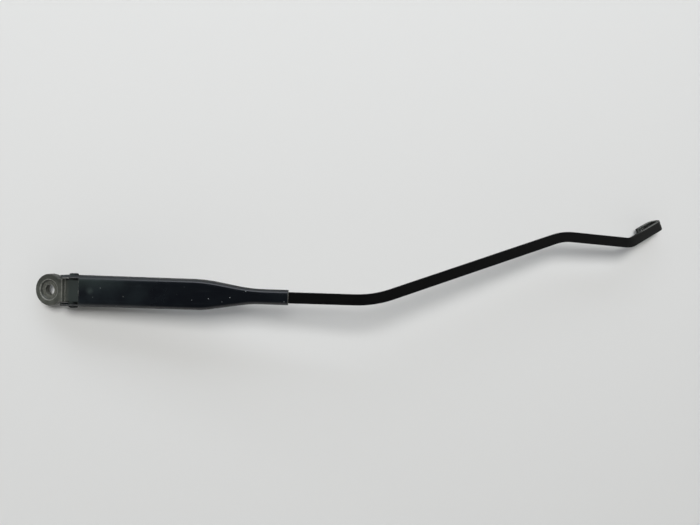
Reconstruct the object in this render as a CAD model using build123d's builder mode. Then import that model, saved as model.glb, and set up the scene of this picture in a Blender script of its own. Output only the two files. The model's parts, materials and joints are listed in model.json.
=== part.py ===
"""Windscreen wiper arm, in millimetres, drawn in its free position with the spring at rest.

The origin lies on the spindle axis where the head seats. +X runs along the channel to the hook,
+Z points out of the channel's web, away from the glass, and +Y is across the arm.
"""

import os
from math import cos, hypot, radians, sin

from build123d import *

# Head: a round boss on the spindle and a neck that reaches under the channel
head_diameter = 25.4
head_height = 6.0
head_edge = 0.9
nut_recess_diameter = 16.9
nut_recess_depth = 1.4
nut_seat_diameter = 14.2
spindle_bore = 8.6
step_start = 12.3  # where the boss's flat top ends, from the spindle axis
step_run = 1.0
neck_side_gap = 1.3  # between the neck and the channel's walls
neck_corner = 2.0
neck_edge = 1.2
nose_reach = 10.0  # neck beyond the hinge axis, up to the corner that stops against the web
keel_depth = 11.7  # how far the fork hangs below the boss's seat
keel_start = 7.0
keel_run = 4.0
nose_chamfer = 6.0
lug_diameter = 8.2  # round the hinge bore, filling the neck's side gaps
lug_gap = 0.3

# Hinge between head and channel
spindle_to_hinge = 18.6
hinge_height = -0.2  # from the seat, up
droop = 16.0  # degrees, from the head's seat plane down to the channel in the free position
stop_gap = 0.15
pin_diameter = 5.0
pin_clearance = 0.03  # radial
rivet_diameter = 6.8
rivet_height = 1.6
rivet_dome = 0.9

# Channel, pressed from sheet
sheet = 1.6
channel_width = 24.4
channel_corner = 4.0
hinge_below_web = 8.5
ear_radius = 8.5
ear_back = 1.6  # middle of the ear's round, from the hinge axis towards the spindle
web_setback = 7.0  # web edge beyond the hinge axis
side_depth = 12.0  # side walls where the taper starts
hinge_to_neck_end = 172.7
neck_length = 30.0
taper_length = 38.0
taper_round_upper = 130.0
taper_round_lower = 60.0
wall_round = 150.0  # where the walls' lower edge meets the taper and the neck
seam = 1.2  # slit between the two flanges folded under the bar

# Bar, 9 by 3 flat
bar_width = 9.0
bar_thickness = 3.0
bar_edge = 0.55
bar_seat = 8.0  # level seat for the bar under the web, behind the neck
tail_bend_back = 6.0  # where the tail dips, behind the neck
tail_dip = 9.0  # degrees, towards the glass
tail_bend_radius = 12.0
tail_length = 24.0
tail_hole = 3.4
tail_hole_inset = 3.6
neck_to_bend_1 = 69.0
bend_1_to_2 = 184.7
bend_2_to_3 = 71.5
bend_3_to_hook_end = 48.7
# Each bend in degrees: edgewise towards +Y, then flatwise towards the glass
bend_1 = (18.6, 14.2)
bend_2 = (-21.3, 0.0)
bend_3 = (27.3, 10.3)
bend_1_radius = 75.0
bend_2_radius = 50.0
bend_3_radius = 17.0
hook_gap = 8.0
hook_return = 22.4  # return leg, over the outside of its bend
hook_flat = 0.03  # straight run left between the two rounds of the fold
hook_hole = 5.4
hook_hole_inset = 5.5

# Return spring, its link and the anchor pin in the head's fork
anchor_back = 3.0  # from the hinge axis towards the spindle
anchor_below = 7.5
anchor_diameter = 4.0
anchor_clearance = 0.05  # radial, in the link's eye
link_thickness = 3.0
link_side_gap = 0.7
link_strip = 2.6
link_eye_diameter = 6.8
link_end_diameter = 5.2
link_end_hole = 3.2
link_length = 24.0
link_dip = 5.8
link_drop_at = 2.9
link_rise_from = 12.0
link_rise_to = 18.7
pin_headroom = 0.17  # from the hinge bore up to the slot's roof
slot_back = 4.5  # slot behind the anchor
roof_reach = 7.4  # slot roof beyond the hinge axis
spring_wire = 1.6
spring_outer = 9.0
spring_pitch = 2.4
spring_turns = 22
spring_loop_radius = 3.1
spring_lead = 3.0  # between the link's loop and the coil
spring_stub = 1.8  # wire that leaves the coil before it turns to the axis
spring_bend = 0.9

# Planes and points that the pieces share
arm_along, arm_width, arm_glass = Vector(1, 0, 0), Vector(0, 1, 0), Vector(0, 0, -1)
head_plane = Plane.XY.rotated((0, -droop, 0))
head_side = Plane(head_plane.origin, x_dir=head_plane.x_dir, z_dir=-arm_width)
hinge = head_plane.from_local_coords((spindle_to_hinge, 0, hinge_height))
web_plane = Plane(hinge + Vector(0, 0, hinge_below_web))
web_side = Plane(web_plane.origin, x_dir=arm_along, z_dir=-arm_width)

half_width = channel_width / 2
inner_half = half_width - sheet
neck_width = 2 * inner_half - 2 * neck_side_gap
neck_half = bar_width / 2 + sheet
neck_depth = bar_thickness + 2 * sheet
neck_start = hinge_to_neck_end - neck_length
taper_start = neck_start - taper_length
bar_middle = sheet + bar_thickness / 2  # below the web's outer face

slot_width = link_thickness + 2 * link_side_gap
nose_top = hinge_height + (
    hinge_below_web - sheet - stop_gap - nose_reach * sin(radians(droop))
) / cos(radians(droop))
nose_end = spindle_to_hinge + nose_reach
slot_roof = hinge_height + pin_diameter / 2 + pin_clearance + pin_headroom
anchor_local = (spindle_to_hinge - anchor_back, 0, hinge_height - anchor_below)
anchor = head_plane.from_local_coords(anchor_local)
tail_along = Vector(cos(radians(tail_dip)), 0, sin(radians(tail_dip)))
tail_bend_point = web_plane.from_local_coords((neck_start - tail_bend_back, 0, -bar_middle))
tail_point = tail_bend_point - tail_along * tail_length
tail_plane = Plane(tail_point, x_dir=arm_width, z_dir=tail_along)
tail_hole_point = tail_point + tail_along * tail_hole_inset
pull = (tail_hole_point - anchor).normalized()
link_plane = Plane(anchor, x_dir=pull, z_dir=-arm_width)

# Head
with BuildPart(head_plane) as arm_head:
    with BuildSketch(head_plane.offset(-keel_depth)) as plan:
        Circle(head_diameter / 2)
        with Locations((nose_end / 2, 0)):
            Rectangle(nose_end, neck_width)
        where_neck_leaves = plan.vertices().filter_by(lambda v: 0 < v.X < head_diameter / 2)
        fillet(where_neck_leaves, radius=neck_corner)
    extrude(amount=keel_depth + head_height)
    with BuildSketch(head_side) as profile:
        with BuildLine():
            Polyline(
                (-head_diameter, 0),
                (keel_start, 0),
                (keel_start + keel_run, -keel_depth),
                (nose_end - nose_chamfer, -keel_depth),
                (nose_end, nose_chamfer - keel_depth),
                (nose_end, nose_top),
                (step_start + step_run, nose_top),
                (step_start, head_height),
                (-head_diameter, head_height),
                close=True,
            )
        make_face()
    extrude(amount=head_diameter, both=True, mode=Mode.INTERSECT)
    head_lengthwise = Axis(head_plane.origin, head_plane.x_dir)
    head_upright = Axis(head_plane.origin, head_plane.z_dir)
    long_edges = arm_head.edges().filter_by(head_lengthwise).filter_by(lambda e: e.length > nose_reach)
    fillet(long_edges.sort_by(head_upright)[-2:], radius=neck_edge)
    boss_top = arm_head.faces().sort_by(head_upright)[-1]
    fillet(boss_top.edges(), radius=head_edge)
    with Locations(Location((spindle_to_hinge, 0, hinge_height), (90, 0, 0))):
        Cylinder(lug_diameter / 2, 2 * inner_half - 2 * lug_gap)
    with Locations((0, 0, head_height)):
        Cone(
            nut_seat_diameter / 2,
            nut_recess_diameter / 2,
            nut_recess_depth,
            align=(Align.CENTER, Align.CENTER, Align.MAX),
            mode=Mode.SUBTRACT,
        )
    Cylinder(spindle_bore / 2, 3 * head_height, mode=Mode.SUBTRACT)
    slot_start = anchor_local[0] - slot_back
    with Locations((slot_start, 0, slot_roof)):
        Box(
            nose_end,
            slot_width,
            2 * keel_depth,
            align=(Align.MIN, Align.CENTER, Align.MAX),
            mode=Mode.SUBTRACT,
        )
    with Locations((spindle_to_hinge + roof_reach, 0, 0)):
        Box(
            nose_end,
            slot_width,
            4 * keel_depth,
            align=(Align.MIN, Align.CENTER, Align.CENTER),
            mode=Mode.SUBTRACT,
        )
    with Locations(Location((spindle_to_hinge, 0, hinge_height), (90, 0, 0))):
        Cylinder(pin_diameter / 2 + pin_clearance, 2 * neck_width, mode=Mode.SUBTRACT)
    with Locations(Location(anchor_local, (90, 0, 0))):
        Cylinder(anchor_diameter / 2, 2 * neck_width, mode=Mode.SUBTRACT)

# Hinge pin with its two riveted heads, fixed in the channel's ears
with BuildPart(Plane(hinge)) as hinge_pin:
    with Locations(Location((0, 0, 0), (90, 0, 0))):
        Cylinder(pin_diameter / 2, channel_width)
        with Locations((0, 0, half_width), Location((0, 0, -half_width), (180, 0, 0))):
            Cylinder(
                rivet_diameter / 2,
                rivet_height,
                align=(Align.CENTER, Align.CENTER, Align.MIN),
            )
    ends = hinge_pin.faces().sort_by(Axis.Y)
    fillet(ends[0].edges() + ends[-1].edges(), radius=rivet_dome)

# Anchor pin, flush in the fork
with BuildPart(Plane(anchor)) as anchor_pin:
    with Locations(Location((0, 0, 0), (90, 0, 0))):
        Cylinder(anchor_diameter / 2, neck_width)

# Room inside the channel, under the web
with BuildPart() as channel_room:
    with BuildSketch(Plane.XY.offset(-sheet)) as room:
        with BuildLine():
            Polyline(
                (-2 * ear_radius, -inner_half),
                (taper_start, -inner_half),
                (neck_start, -bar_width / 2),
                (neck_start, bar_width / 2),
                (taper_start, inner_half),
                (-2 * ear_radius, inner_half),
                close=True,
            )
        make_face()
        lower_waist = room.vertices().filter_by(lambda v: abs(v.X - taper_start) < sheet and v.Y < 0)
        fillet(lower_waist, radius=taper_round_lower - sheet)
        upper_waist = room.vertices().filter_by(lambda v: abs(v.X - taper_start) < sheet and v.Y > 0)
        fillet(upper_waist, radius=taper_round_upper - sheet)
    extrude(amount=-3 * ear_radius)
    ceiling = channel_room.faces().sort_by(Axis.Z)[-1]
    fillet(ceiling.edges().sort_by(Axis.X)[1:-1], radius=channel_corner - sheet)

# Channel
with BuildPart(web_plane) as arm_channel:
    with BuildSketch(web_plane) as outline:
        with BuildLine():
            Polyline(
                (-2 * ear_radius, -half_width),
                (taper_start, -half_width),
                (neck_start, -neck_half),
                (hinge_to_neck_end, -neck_half),
                (hinge_to_neck_end, neck_half),
                (neck_start, neck_half),
                (taper_start, half_width),
                (-2 * ear_radius, half_width),
                close=True,
            )
        make_face()
        lower_waist = outline.vertices().filter_by(lambda v: 0 < v.X < neck_start + sheet and v.Y < 0)
        fillet(lower_waist, radius=taper_round_lower)
        upper_waist = outline.vertices().filter_by(lambda v: 0 < v.X < neck_start + sheet and v.Y > 0)
        fillet(upper_waist, radius=taper_round_upper)
    extrude(amount=-hinge_below_web - ear_radius)
    web = arm_channel.faces().sort_by(Axis.Z)[-1]
    fillet(web.edges().sort_by(Axis.X)[1:-1], radius=channel_corner)
    with BuildSketch(web_side) as walls:
        with BuildLine():
            Polyline(
                (-ear_back, 0),
                (-ear_back, -hinge_below_web - ear_radius),
                (taper_start, -side_depth),
                (neck_start, -neck_depth),
                (hinge_to_neck_end, -neck_depth),
                (hinge_to_neck_end, 0),
                close=True,
            )
        make_face()
        waist = walls.vertices().filter_by(lambda v: 0 < v.X < hinge_to_neck_end and v.Y < 0)
        fillet(waist, radius=wall_round)
        with Locations((-ear_back, -hinge_below_web)):
            Circle(ear_radius)
    extrude(amount=channel_width, both=True, mode=Mode.INTERSECT)
    add(channel_room.part, mode=Mode.SUBTRACT)
    with Locations((web_setback, 0, 0)):
        Box(
            4 * ear_radius,
            2 * inner_half,
            4 * sheet,
            align=(Align.MAX, Align.CENTER, Align.CENTER),
            mode=Mode.SUBTRACT,
        )
    with Locations((neck_start - bar_seat, 0, -bar_middle)):
        Box(
            2 * neck_length,
            bar_width,
            bar_thickness,
            align=(Align.MIN, Align.CENTER, Align.CENTER),
            mode=Mode.SUBTRACT,
        )
    with Locations((neck_start, 0, -bar_middle)):
        Box(
            2 * neck_length,
            seam,
            neck_depth,
            align=(Align.MIN, Align.CENTER, Align.MAX),
            mode=Mode.SUBTRACT,
        )
    with Locations(Location((0, 0, -hinge_below_web), (90, 0, 0))):
        Cylinder(pin_diameter / 2, 2 * channel_width, mode=Mode.SUBTRACT)


def turned(frame, edgewise, flatwise):
    """The bar's (along, width, glass) directions after one bend in a single plane."""
    along, width, glass = frame
    angle = hypot(edgewise, flatwise)
    towards = width * (edgewise / angle) + glass * (flatwise / angle)
    about = Axis((0, 0, 0), along.cross(towards))
    return tuple(direction.rotate(about, angle) for direction in frame)


# Bar: the line through its middle, corner by corner, then the flat swept along it
frame_1 = (arm_along, arm_width, arm_glass)
frame_2 = turned(frame_1, *bend_1)
frame_3 = turned(frame_2, *bend_2)
frame_4 = turned(frame_3, *bend_3)
hook_along, hook_width, hook_glass = frame_4
fold = hook_gap + bar_thickness
bend_1_point = web_plane.from_local_coords((hinge_to_neck_end + neck_to_bend_1, 0, -bar_middle))
bend_2_point = bend_1_point + frame_2[0] * bend_1_to_2
bend_3_point = bend_2_point + frame_3[0] * bend_2_to_3
hook_front = bend_3_point + hook_along * (bend_3_to_hook_end - bar_thickness / 2)
hook_back = hook_front + hook_glass * fold
hook_tip = hook_back - hook_along * (hook_return - bar_thickness / 2)
fold_radius = (fold - hook_flat) / 2

with BuildPart() as arm_bar:
    with BuildLine() as bar_line:
        FilletPolyline(
            tail_point,
            tail_bend_point,
            bend_1_point,
            bend_2_point,
            bend_3_point,
            hook_front,
            hook_back,
            hook_tip,
            radius=(
                tail_bend_radius,
                bend_1_radius,
                bend_2_radius,
                bend_3_radius,
                fold_radius,
                fold_radius,
            ),
        )
    with BuildSketch(tail_plane):
        RectangleRounded(bar_width, bar_thickness, bar_edge)
    sweep(path=bar_line.wire())
    with Locations(Plane(tail_hole_point, z_dir=tail_plane.y_dir)):
        Cylinder(tail_hole / 2, 2 * bar_thickness, mode=Mode.SUBTRACT)
    with Locations(Plane(hook_tip + hook_along * hook_hole_inset, z_dir=hook_glass)):
        Cylinder(hook_hole / 2, hook_gap, mode=Mode.SUBTRACT)

# Link: an eye on the anchor pin, a dip that clears the hinge pin as the arm lifts, and the spring's eye
with BuildPart(link_plane) as spring_link:
    with BuildSketch(link_plane) as link_shape:
        with BuildLine() as link_line:
            FilletPolyline(
                (0, 0),
                (link_drop_at, -link_dip),
                (link_rise_from, -link_dip),
                (link_rise_to, 0),
                (link_length, 0),
                radius=link_strip,
            )
        trace(line_width=link_strip)
        Circle(link_eye_diameter / 2)
        with Locations((link_length, 0)):
            Circle(link_end_diameter / 2)
            Circle(link_end_hole / 2, mode=Mode.SUBTRACT)
        Circle(anchor_diameter / 2 + anchor_clearance, mode=Mode.SUBTRACT)
    extrude(amount=link_thickness / 2, both=True)

# Spring: a loop in the link's eye, the coil, and a loop through the hole in the bar's tail
coil_radius = (spring_outer - spring_wire) / 2
loop_middle = link_length + spring_loop_radius
coil_start = loop_middle + spring_loop_radius + spring_lead
coil_length = spring_pitch * spring_turns
hook_middle = (tail_hole_point - anchor).length - spring_loop_radius


def on_pull(distance):
    """The point on the spring's axis at a distance from the anchor pin."""
    return anchor + pull * distance


with BuildPart() as return_spring:
    with BuildLine() as coil:
        Helix(spring_pitch, coil_length, coil_radius, center=on_pull(coil_start), direction=pull)
    with BuildSketch(Plane(coil.line @ 0, z_dir=coil.line % 0)):
        Circle(spring_wire / 2)
    sweep(path=coil.line, is_frenet=True)
    wire_ends = (
        (coil.line @ 0, -(coil.line % 0), coil_start, loop_middle + spring_loop_radius),
        (coil.line @ 1, coil.line % 1, coil_start + coil_length, hook_middle - spring_loop_radius),
    )
    for wire_end, onward, turn_in, loop_side in wire_ends:
        with BuildLine() as lead:
            FilletPolyline(
                wire_end,
                wire_end + onward * spring_stub,
                on_pull(turn_in),
                on_pull(loop_side),
                radius=spring_bend,
            )
        with BuildSketch(Plane(wire_end, z_dir=onward)):
            Circle(spring_wire / 2)
        sweep(path=lead.wire())
    # The first loop lies square to the link, the second in the plane of the pull
    link_loop = Plane(on_pull(loop_middle), z_dir=link_plane.y_dir)
    tail_loop = Plane(on_pull(hook_middle), z_dir=arm_width)
    with Locations(link_loop, tail_loop):
        Torus(spring_loop_radius, spring_wire / 2)

nodes = {
    "arm_head": arm_head,
    "hinge_pin": hinge_pin,
    "anchor_pin": anchor_pin,
    "arm_channel": arm_channel,
    "arm_bar": arm_bar,
    "spring_link": spring_link,
    "return_spring": return_spring,
}
os.makedirs("parts", exist_ok=True)
for name, node in nodes.items():
    export_step(node.part, os.path.join("parts", name + ".step"))
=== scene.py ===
"""Studio scene of the windscreen wiper arm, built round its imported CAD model, in metres."""

import json
from math import asin, atan, radians

import bpy
from mathutils import Matrix, Vector


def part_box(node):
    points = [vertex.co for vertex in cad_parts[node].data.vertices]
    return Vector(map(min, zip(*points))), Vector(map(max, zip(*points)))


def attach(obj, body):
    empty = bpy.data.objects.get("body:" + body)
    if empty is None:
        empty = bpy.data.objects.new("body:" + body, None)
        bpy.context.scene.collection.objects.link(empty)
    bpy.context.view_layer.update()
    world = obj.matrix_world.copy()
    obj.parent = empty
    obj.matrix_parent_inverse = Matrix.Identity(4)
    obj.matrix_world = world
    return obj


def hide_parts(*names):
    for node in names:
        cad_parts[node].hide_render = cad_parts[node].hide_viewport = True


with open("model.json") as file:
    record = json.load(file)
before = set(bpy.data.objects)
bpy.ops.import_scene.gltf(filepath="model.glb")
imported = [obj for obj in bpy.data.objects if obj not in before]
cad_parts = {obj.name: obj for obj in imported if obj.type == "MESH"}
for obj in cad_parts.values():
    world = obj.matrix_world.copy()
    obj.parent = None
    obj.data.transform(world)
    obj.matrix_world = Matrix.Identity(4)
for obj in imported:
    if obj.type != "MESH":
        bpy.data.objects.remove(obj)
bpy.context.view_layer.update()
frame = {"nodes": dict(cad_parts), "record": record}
nodes = frame["nodes"]
joints = {joint["name"]: joint for joint in frame["record"]["behaviour"]["joints"]}
mounts = {mount["name"]: mount for mount in frame["record"]["mounts"]}
scene = bpy.context.scene

MM = 0.001

# Places and angles on the arm, from the frame

head_lean = asin(mounts["spindle_bore"]["axis"][0])
neck_end, _, web_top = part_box("arm_channel")[1]
anchor = Vector(joints["link_swing"]["pos_m"])
hook_middle = Vector(mounts["blade_hook"]["pos_m"])

# Directions at the hook, after the bar's three bends: degrees edgewise towards +Y, then towards the glass

bar_bends = ((18.6, 14.2), (-21.3, 0), (27.3, 10.3))
hook_along, hook_across, hook_to_glass = Vector((1, 0, 0)), Vector((0, 1, 0)), Vector((0, 0, -1))
for edgewise, flatwise in bar_bends:
    bend = hook_across * radians(edgewise) + hook_to_glass * radians(flatwise)
    turn = Matrix.Rotation(bend.length, 3, hook_along.cross(bend))
    hook_along, hook_across, hook_to_glass = turn @ hook_along, turn @ hook_across, turn @ hook_to_glass


def linear(hex_colour):
    """A colour written as sRGB hex, as linear RGBA."""
    values = [int(hex_colour[i : i + 2], 16) / 255 for i in (1, 3, 5)]
    return [v / 12.92 if v <= 0.04045 else ((v + 0.055) / 1.055) ** 2.4 for v in values] + [1.0]


def connect(tree, node, inputs):
    """Set or link the inputs of a node. A node as a value stands for its first output that is in use."""
    for name, value in inputs.items():
        if isinstance(value, bpy.types.Node):
            value = next(output for output in value.outputs if output.enabled)
        if isinstance(value, bpy.types.NodeSocket):
            tree.links.new(value, node.inputs[name])
        else:
            node.inputs[name].default_value = value


def add(tree, kind, inputs=None, **settings):
    """A new node of that kind, with its settings and inputs."""
    node = tree.nodes.new("ShaderNode" + kind)
    for name, value in settings.items():
        setattr(node, name, value)
    connect(tree, node, inputs or {})
    return node


def coat(name):
    """A new material, with its tree, its shader and its Object coordinates."""
    material = bpy.data.materials.new(name)
    material.use_nodes = True
    tree = material.node_tree
    return material, tree, tree.nodes["Principled BSDF"], add(tree, "TexCoord").outputs["Object"]


# Camera

photo_width = 700  # pixels
focal_length = 600  # pixels

camera_data = bpy.data.cameras.new("camera")
camera_data.sensor_width = 36
camera_data.lens = camera_data.sensor_width * focal_length / photo_width
camera = bpy.data.objects.new("camera", camera_data)
camera.location = (0.224455, 0.04451, 0.493355)
camera.rotation_euler = [radians(angle) for angle in (-1.7742, -1.6973, 1.9608)]
scene.collection.objects.link(camera)
scene.camera = camera
scene.view_settings.view_transform = "Standard"

# Floor

floor_gap = 0.2 * MM  # keeps the arm's lowest points out of the floor
studio_grey = linear("#dcdcda")


def lowest(name, slope):
    """The point of a node that a floor with that slope along X would touch."""
    points = [vertex.co for vertex in nodes[name].data.vertices]
    return min(points, key=lambda point: point.z - slope * point.x)


# The arm lies on its spring link and on the back of its hook, so the floor slopes in the arm's own frame.
# Each round finds where a floor with the last round's slope would touch the two.
slope = 0
for _ in range(3):
    heel, toe = lowest("spring_link", slope), lowest("arm_bar", slope)
    slope = (toe.z - heel.z) / (toe.x - heel.x)

bpy.ops.object.select_all(action="DESELECT")
bpy.ops.mesh.primitive_plane_add(size=60)
floor = bpy.context.object
floor.name = "floor"
floor.rotation_euler = (0, -atan(slope), 0)
floor.location = ((heel.x + toe.x) / 2, 0, (heel.z + toe.z) / 2 - floor_gap)

# The paint is matt and pale. Far out it glows like the walls, so no horizon shows. From below it is clear.
floor_paint, tree, near, place = coat("pale_studio_floor")
connect(tree, near, {"Base Color": studio_grey, "Roughness": 0.85})
far = add(tree, "Emission", {"Color": studio_grey})
reach = add(tree, "VectorMath", {0: place}, operation="LENGTH")
fade = add(
    tree, "MapRange", {"Value": reach, "From Min": 0.45, "From Max": 1.0}, interpolation_type="SMOOTHSTEP"
)
spread = add(tree, "MixShader", {"Fac": fade, 1: near, 2: far})
below = add(tree, "NewGeometry").outputs["Backfacing"]
one_sided = add(tree, "MixShader", {"Fac": below, 1: spread, 2: add(tree, "BsdfTransparent")})
connect(tree, tree.nodes["Material Output"], {"Surface": one_sided})
floor.data.materials.append(floor_paint)

# Light: pale walls all round and a dim ceiling, a soft lamp overhead, and a low window behind the arm

world = bpy.data.worlds.new("studio")
world.use_nodes = True
tree = world.node_tree
_, _, height = add(tree, "SeparateXYZ", {"Vector": add(tree, "TexCoord").outputs["Generated"]}).outputs
strength = add(
    tree,
    "MapRange",
    {"Value": height, "From Min": 0.12, "From Max": 0.8, "To Min": 1.0, "To Max": 0.07},
    interpolation_type="SMOOTHSTEP",
)
connect(tree, tree.nodes["Background"], {"Color": studio_grey, "Strength": strength})
scene.world = world


def panel(name, place, target, width, depth, power):
    """A soft rectangular lamp that faces a point."""
    bpy.ops.object.light_add(type="AREA", location=place)
    lamp = bpy.context.object
    lamp.name = name
    lamp.data.shape = "RECTANGLE"
    lamp.data.size = width
    lamp.data.size_y = depth
    lamp.data.energy = power
    lamp.rotation_euler = (Vector(target) - lamp.location).to_track_quat("-Z", "Y").to_euler()
    return lamp


overhead = panel("overhead_panel", (0.3, 1.3, 3.0), (0.27, 0, 0), 1.3, 1.3, 82)
overhead.visible_glossy = False
window = panel("window_panel", (0.2, 2.0, 0.98), (0.2, 0, 0), 2.7, 0.8, 20)
window.data.color = linear("#ecf3ff")[:3]


# Parts of a finish


def painted(tree, ground, films):
    """A ground colour under films of other colours, lowest first, each as thick as its masks multiplied."""
    for colour, thickness, *masks in films:
        for mask in masks:
            thickness = add(tree, "Math", {0: thickness, 1: mask}, operation="MULTIPLY")
        ground = add(tree, "MixRGB", {"Fac": thickness, "Color1": ground, "Color2": linear(colour)})
    return ground


def rubbed_edges(tree, place, width, grain):
    """Mask of the outside edges where a coat has rubbed thin, broken up by a grain."""
    rounded = add(tree, "Bevel", {"Radius": width}, samples=6)
    flat = add(tree, "NewGeometry").outputs["Normal"]
    likeness = add(tree, "VectorMath", {0: rounded, 1: flat}, operation="DOT_PRODUCT")
    edge = add(
        tree,
        "MapRange",
        {"Value": likeness, "From Min": 0.985, "From Max": 0.86},
        interpolation_type="SMOOTHSTEP",
    )
    room = add(tree, "AmbientOcclusion", {"Distance": 3 * width}, samples=4).outputs["AO"]
    outside = add(tree, "MapRange", {"Value": room, "From Min": 0.62, "From Max": 0.85})
    chips = add(tree, "TexNoise", {"Vector": place, "Scale": 1 / grain, "Detail": 3})
    broken = add(tree, "MapRange", {"Value": chips, "From Min": 0.36, "From Max": 0.6})
    shown = add(tree, "Math", {0: edge, 1: outside}, operation="MULTIPLY")
    return add(tree, "Math", {0: shown, 1: broken}, operation="MULTIPLY")


def worn_line(tree, distance, middle, half_width, strength):
    """Mask of a line round one value of a distance, fading out over its half width."""
    offset = add(tree, "Math", {0: distance, 1: middle}, operation="SUBTRACT")
    away = add(tree, "Math", {0: offset}, operation="ABSOLUTE")
    return add(
        tree,
        "MapRange",
        {"Value": away, "From Min": half_width, "From Max": 0.3 * half_width, "To Max": strength},
        interpolation_type="SMOOTHSTEP",
    )


def dust_specks(tree, place, spacing, size, share):
    """Mask of small round specks, some paler than others, at a mean spacing in a share of the cells."""
    cells = add(tree, "TexVoronoi", {"Vector": place, "Scale": 1 / spacing}, voronoi_dimensions="2D")
    radius = 0.5 * size / spacing
    dot = add(tree, "MapRange", {"Value": cells, "From Min": radius, "From Max": 0.6 * radius})
    lot, paleness, _ = add(tree, "SeparateColor", {"Color": cells.outputs["Color"]}).outputs
    chosen = add(tree, "Math", {0: lot, 1: share}, operation="LESS_THAN")
    speck = add(tree, "Math", {0: dot, 1: chosen}, operation="MULTIPLY")
    return add(tree, "Math", {0: speck, 1: paleness}, operation="MULTIPLY")


# Finishes


def stove_enamel(name, film_colour, film_share):
    """Black stove enamel on pressed steel: deep blue-black and semi-gloss on top, with a faint orange peel.

    Handling leaves a thin grey-green film, with hair scratches along the arm and one smudge. The film is
    painted thicker towards the hinge, partly as a painted reflection that lightens the web there. Dust lies
    on top as pale specks. By the hinge the top is painted lighter along one side, a painted reflection. Cut
    edges have lost the coat and show dull steel.
    """
    material, tree, shader, place = coat(name)
    x, y, z = add(tree, "SeparateXYZ", {"Vector": place}).outputs
    _, _, upward = add(tree, "SeparateXYZ", {"Vector": add(tree, "NewGeometry").outputs["Normal"]}).outputs

    to_hinge = add(
        tree,
        "MapRange",
        {"Value": x, "From Min": 125 * MM, "From Max": 15 * MM},
        interpolation_type="SMOOTHSTEP",
    )
    clouds = add(tree, "TexNoise", {"Vector": place, "Scale": 1 / (22 * MM), "Detail": 5, "Roughness": 0.62})
    film = add(tree, "MapRange", {"Value": clouds, "From Min": 0.38, "From Max": 0.68})
    # Thicker towards the hinge: partly handling film, partly a painted reflection that lightens the web
    # there.
    film_depth_and_painted_sheen = add(
        tree, "MapRange", {"Value": to_hinge, "To Min": 0.25 * film_share, "To Max": film_share}
    )

    # Painted reflection: the top of the web by the hinge is painted a lighter grey-green towards its +Y
    # side.
    painted_side_shading = add(
        tree,
        "MapRange",
        {"Value": y, "From Min": -2 * MM, "From Max": 12 * MM, "To Max": 0.4},
        interpolation_type="SMOOTHSTEP",
    )
    by_hinge = add(
        tree,
        "MapRange",
        {"Value": x, "From Min": 75 * MM, "From Max": 25 * MM},
        interpolation_type="SMOOTHSTEP",
    )
    on_top = add(tree, "MapRange", {"Value": upward, "From Min": 0.75, "From Max": 0.97})
    specks = dust_specks(tree, place, 6 * MM, 0.8 * MM, 0.26)
    level = add(tree, "Math", {0: upward, 1: 0.8}, operation="GREATER_THAN")

    drawn = add(tree, "Mapping", {"Vector": place, "Scale": (1 / (45 * MM), 1 / (0.6 * MM), 1 / (0.6 * MM))})
    hairs = add(tree, "TexNoise", {"Vector": drawn, "Scale": 1.0, "Detail": 2})
    scratches = add(tree, "MapRange", {"Value": hairs, "From Min": 0.66, "From Max": 0.74, "To Max": 0.14})

    smudge_middle = (33.9 * MM, 0.7 * MM, web_top)
    from_smudge = add(tree, "VectorMath", {0: place, 1: smudge_middle}, operation="DISTANCE")
    smudge = add(
        tree,
        "MapRange",
        {"Value": from_smudge, "From Min": 4 * MM, "From Max": 0.5 * MM, "To Max": 0.5},
        interpolation_type="SMOOTHSTEP",
    )
    smear = add(tree, "TexNoise", {"Vector": place, "Scale": 1 / (2 * MM), "Detail": 3})

    edges = rubbed_edges(tree, place, 0.45 * MM, 2.5 * MM)
    cut_end = add(
        tree, "MapRange", {"Value": x, "From Min": neck_end - 0.2 * MM, "From Max": neck_end - 0.1 * MM}
    )
    films = [
        (film_colour, film, film_depth_and_painted_sheen),
        # painted reflection: lighter top by the hinge, towards +Y
        ("#3b4541", painted_side_shading, by_hinge, on_top),
        ("#3b4244", scratches),
        ("#a3a9a8", specks, level),
        ("#4c5653", smudge, smear),
        ("#7d7d77", edges),
        ("#7d7d77", cut_end),
    ]

    gloss = add(tree, "MapRange", {"Value": to_hinge, "To Min": 0.2, "To Max": 0.38})
    dulled = add(tree, "Math", {0: film, 1: 0.08, 2: gloss}, operation="MULTIPLY_ADD")
    sides = add(
        tree,
        "MapRange",
        {"Value": z, "From Min": web_top - 1.1 * MM, "From Max": web_top - 2.4 * MM, "To Max": 0.4},
        interpolation_type="SMOOTHSTEP",
    )
    matt_sides = add(tree, "Math", {0: dulled, 1: sides}, operation="ADD")
    peel = add(tree, "TexNoise", {"Vector": place, "Scale": 1 / (1.6 * MM), "Detail": 2})
    skin = add(tree, "Bump", {"Strength": 0.12, "Distance": 0.05 * MM, "Height": peel})
    colour = painted(tree, linear("#0a0d12"), films)
    connect(tree, shader, {"Base Color": colour, "Roughness": matt_sides, "Normal": skin})
    return material


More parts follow.
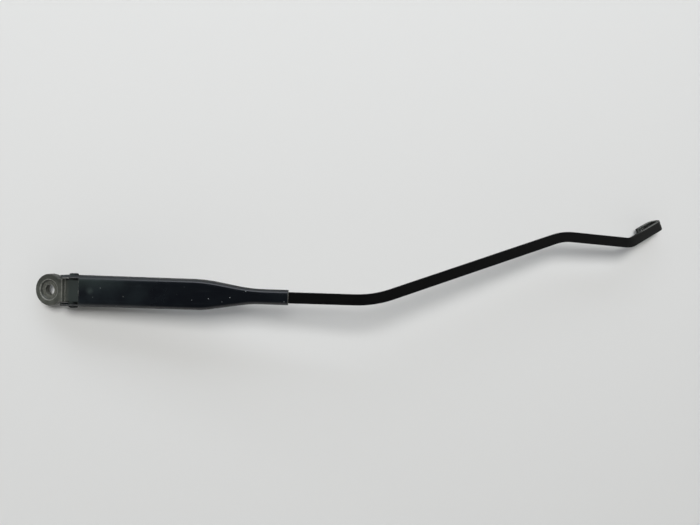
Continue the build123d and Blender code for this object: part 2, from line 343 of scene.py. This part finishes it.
def powder_coat():
    """Matt black powder coat on the flat bar: a fine dry grain, thin along the edges.

    The hook has been clipped in and out of blades, so it is scuffed grey there, most on the return leg
    and along its edges, which are where the surface turns towards the sides of the flat.
    """
    material, tree, shader, place = coat("black_powder_coat")
    x, _, _ = add(tree, "SeparateXYZ", {"Vector": place}).outputs
    on_hook = add(
        tree,
        "MapRange",
        {"Value": x, "From Min": 503 * MM, "From Max": 516 * MM},
        interpolation_type="SMOOTHSTEP",
    )

    clouds = add(tree, "TexNoise", {"Vector": place, "Scale": 1 / (14 * MM), "Detail": 5, "Roughness": 0.65})
    from_gap = add(tree, "VectorMath", {0: place, 1: hook_middle}, operation="SUBTRACT")
    depth = add(tree, "VectorMath", {0: from_gap, 1: hook_to_glass}, operation="DOT_PRODUCT")
    return_leg = add(
        tree, "MapRange", {"Value": depth, "From Min": -4.5 * MM, "From Max": 3.5 * MM, "To Min": 0.1}
    )
    marks = add(tree, "TexNoise", {"Vector": place, "Scale": 1 / (2 * MM), "Detail": 7, "Roughness": 0.72})
    scuffs = add(tree, "MapRange", {"Value": marks, "From Min": 0.44, "From Max": 0.6})
    films = [("#0c0c0c", clouds), ("#393c3a", return_leg, on_hook, scuffs)]
    scuffed = painted(tree, linear("#050505"), films)

    normal = add(tree, "NewGeometry").outputs["Normal"]
    sideways = add(tree, "VectorMath", {0: normal, 1: hook_across}, operation="DOT_PRODUCT")
    turned = add(tree, "Math", {0: sideways}, operation="ABSOLUTE")
    chipped = add(tree, "MapRange", {"Value": marks, "From Min": 0.34, "From Max": 0.52})
    hook_line = worn_line(tree, turned, 0.6, 0.48, 1.0)
    hook_edge = add(tree, "Math", {0: hook_line, 1: chipped}, operation="MULTIPLY")
    clipped = add(tree, "Math", {0: hook_edge, 1: on_hook}, operation="MULTIPLY")
    rubbed = rubbed_edges(tree, place, 0.8 * MM, 3 * MM)
    edges = add(tree, "Math", {0: rubbed, 1: clipped}, operation="MAXIMUM")
    edge_colour = painted(tree, linear("#1b1c1b"), [("#70736e", on_hook)])
    colour = add(tree, "MixRGB", {"Fac": edges, "Color1": scuffed, "Color2": edge_colour})

    dry = add(tree, "MapRange", {"Value": clouds, "To Min": 0.42, "To Max": 0.6})
    grain = add(tree, "TexNoise", {"Vector": place, "Scale": 1 / (0.5 * MM), "Detail": 3})
    skin = add(tree, "Bump", {"Strength": 0.25, "Distance": 0.06 * MM, "Height": grain})
    connect(
        tree, shader, {"Base Color": colour, "Specular IOR Level": 0.18, "Roughness": dry, "Normal": skin}
    )
    return material


def worn_casting():
    """Zinc die casting under thin dark paint gone grey-green, with cast grain, and painted shade in its
    corners and hollows, in a ring round the dish wall, on one side and towards the neck.

    The nut has rubbed the dish and its rim, and the crests of the step by the neck are worn bright.
    """
    material, tree, shader, place = coat("worn_painted_zinc_casting")
    seat = add(tree, "Mapping", {"Vector": place, "Rotation": (0, head_lean, 0)})
    x, y, z = add(tree, "SeparateXYZ", {"Vector": seat}).outputs
    level = add(tree, "VectorMath", {0: seat, 1: (1, 1, 0)}, operation="MULTIPLY")
    radius = add(tree, "VectorMath", {0: level}, operation="LENGTH")

    clouds = add(tree, "TexNoise", {"Vector": place, "Scale": 1 / (5 * MM), "Detail": 6, "Roughness": 0.68})
    mottle = add(tree, "MapRange", {"Value": clouds, "From Min": 0.3, "From Max": 0.7})
    # Painted shade: the casting is painted darker towards its +Y side.
    painted_side_shading = add(
        tree,
        "MapRange",
        {"Value": y, "From Min": 1 * MM, "From Max": 11 * MM, "To Max": 0.55},
        interpolation_type="SMOOTHSTEP",
    )
    # Painted shade: darker and greener towards the neck, where it runs in between the channel's ears.
    neck_shade = add(
        tree,
        "MapRange",
        {"Value": x, "From Min": 13 * MM, "From Max": 19 * MM},
        interpolation_type="SMOOTHSTEP",
    )
    # Painted shade: corners and hollows, found by ambient occlusion, are painted darker.
    corners = add(tree, "AmbientOcclusion", {"Distance": 3.5 * MM}, samples=6).outputs["AO"]
    painted_corner_shade = add(tree, "MapRange", {"Value": corners, "From Min": 0.85, "From Max": 0.35, "To Max": 0.85})

    rub = add(tree, "TexNoise", {"Vector": place, "Scale": 1 / (1.4 * MM), "Detail": 4})
    in_dish = add(tree, "MapRange", {"Value": radius, "From Min": 7.2 * MM, "From Max": 6.6 * MM})
    dish_rub = add(tree, "MapRange", {"Value": rub, "From Min": 0.3, "From Max": 0.75, "To Max": 0.7})
    # Painted shade: a dark ring where the dish's steep wall lies in shade.
    dish_wall_shade = worn_line(tree, radius, 7.5 * MM, 0.7 * MM, 0.45)
    rim = worn_line(tree, radius, 8.35 * MM, 0.55 * MM, 0.8)
    crest = worn_line(tree, x, 12.1 * MM, 0.5 * MM, 0.55)
    foot = worn_line(tree, x, 13.75 * MM, 0.5 * MM, 0.6)
    on_top = add(tree, "MapRange", {"Value": z, "From Min": 3.4 * MM, "From Max": 3.8 * MM})
    patchy = add(tree, "MapRange", {"Value": rub, "From Min": 0.25, "From Max": 0.55})
    films = [
        ("#51534c", mottle),
        ("#262824", painted_side_shading),
        ("#282f2d", neck_shade),
        ("#6b6b63", in_dish, dish_rub),
        ("#1d1e1c", painted_corner_shade),
        ("#1f201e", dish_wall_shade),
        ("#85867f", rim, on_top, patchy),
        ("#85867f", crest, on_top, patchy),
        ("#85867f", foot, on_top, patchy),
        ("#85867f", rubbed_edges(tree, place, 0.9 * MM, 2 * MM)),
    ]

    dry = add(tree, "MapRange", {"Value": clouds, "To Min": 0.38, "To Max": 0.6})
    grain = add(tree, "TexNoise", {"Vector": place, "Scale": 1 / (0.9 * MM), "Detail": 5, "Roughness": 0.6})
    skin = add(tree, "Bump", {"Strength": 0.35, "Distance": 0.1 * MM, "Height": grain})
    colour = painted(tree, linear("#30322d"), films)
    connect(tree, shader, {"Base Color": colour, "Roughness": dry, "Normal": skin})
    return material


def zinc_plate():
    """Zinc plate on the stamped link and the anchor pin, gone dull: cloudy, with greasy dark patches."""
    material, tree, shader, place = coat("dulled_zinc_plate")
    clouds = add(tree, "TexNoise", {"Vector": place, "Scale": 1 / (4 * MM), "Detail": 5, "Roughness": 0.6})
    grease = add(tree, "TexNoise", {"Vector": place, "Scale": 1 / (9 * MM), "Detail": 3})
    patches = add(tree, "MapRange", {"Value": grease, "From Min": 0.5, "From Max": 0.68, "To Max": 0.75})
    colour = painted(tree, linear("#8b8980"), [("#b3b1a8", clouds), ("#4a4741", patches)])
    dulled = add(tree, "MapRange", {"Value": clouds, "To Min": 0.3, "To Max": 0.55})
    grain = add(tree, "TexNoise", {"Vector": place, "Scale": 1 / (0.6 * MM), "Detail": 3})
    skin = add(tree, "Bump", {"Strength": 0.2, "Distance": 0.05 * MM, "Height": grain})
    connect(tree, shader, {"Base Color": colour, "Metallic": 1.0, "Roughness": dulled, "Normal": skin})
    return material


def spring_wire():
    """Hard-drawn spring wire, phosphated and oiled: dark grey metal with brown oil in patches."""
    material, tree, shader, place = coat("phosphated_spring_wire")
    clouds = add(tree, "TexNoise", {"Vector": place, "Scale": 1 / (6 * MM), "Detail": 5, "Roughness": 0.62})
    oil = add(tree, "TexNoise", {"Vector": place, "Scale": 1 / (13 * MM), "Detail": 2})
    patches = add(tree, "MapRange", {"Value": oil, "From Min": 0.52, "From Max": 0.66, "To Max": 0.7})
    colour = painted(tree, linear("#4a4947"), [("#6f6d68", clouds), ("#37302a", patches)])
    wet = add(tree, "MapRange", {"Value": patches, "To Min": 0.48, "To Max": 0.25})
    grain = add(tree, "TexNoise", {"Vector": place, "Scale": 1 / (0.5 * MM), "Detail": 3})
    skin = add(tree, "Bump", {"Strength": 0.2, "Distance": 0.04 * MM, "Height": grain})
    connect(tree, shader, {"Base Color": colour, "Metallic": 1.0, "Roughness": wet, "Normal": skin})
    return material


# Return spring

# Its coil stays with the arm and its first loop in the eye of the link, which moves 8 mm away from the coil
# as the arm lifts. So the loop gets a shank that slides in the coil.
tail_hole = Vector((134.49, 0, 7.14)) * MM
anchor_to_cut = 31.8 * MM
shank_length = 10.5 * MM
shank_lean = 2.6 * MM  # away from the web, so that it passes beside the coil's first turn

pull = (tail_hole - anchor).normalized()
towards_web = Vector((-pull.z, 0, pull.x))
lead_cut = anchor + anchor_to_cut * pull
shank = shank_length * pull - shank_lean * towards_web


def spring_piece(name, body, keeps_loop):
    """The spring's loop or its coil, from a copy of the spring cut square across its straight lead."""
    piece = bpy.data.objects.new(name, nodes["return_spring"].data.copy())
    scene.collection.objects.link(piece)
    bpy.ops.object.select_all(action="DESELECT")
    piece.select_set(True)
    bpy.context.view_layer.objects.active = piece
    bpy.ops.object.mode_set(mode="EDIT")
    bpy.ops.mesh.select_all(action="SELECT")
    bpy.ops.mesh.remove_doubles(threshold=0.001 * MM)
    bpy.ops.mesh.select_all(action="SELECT")
    bpy.ops.mesh.bisect(
        plane_co=lead_cut, plane_no=pull, use_fill=True, clear_outer=keeps_loop, clear_inner=not keeps_loop
    )
    if keeps_loop:
        bpy.ops.mesh.extrude_region_move(TRANSFORM_OT_translate={"value": shank})
    bpy.ops.object.mode_set(mode="OBJECT")
    bpy.ops.object.shade_smooth_by_angle(angle=radians(40))
    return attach(piece, body)


coil = spring_piece("return_spring_coil", "arm", False)
link_loop = spring_piece("return_spring_loop", "link", True)
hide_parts("return_spring")

# Finish of each piece

plate = zinc_plate()
wire = spring_wire()
for piece, material in (
    (nodes["arm_head"], worn_casting()),
    (nodes["hinge_pin"], stove_enamel("black_enamelled_rivet", "#2b302f", 0.9)),
    (nodes["anchor_pin"], plate),
    (nodes["arm_channel"], stove_enamel("black_stove_enamel", "#1b2225", 0.8)),
    (nodes["arm_bar"], powder_coat()),
    (nodes["spring_link"], plate),
    (coil, wire),
    (link_loop, wire),
):
    for slot in piece.material_slots:
        slot.material = material
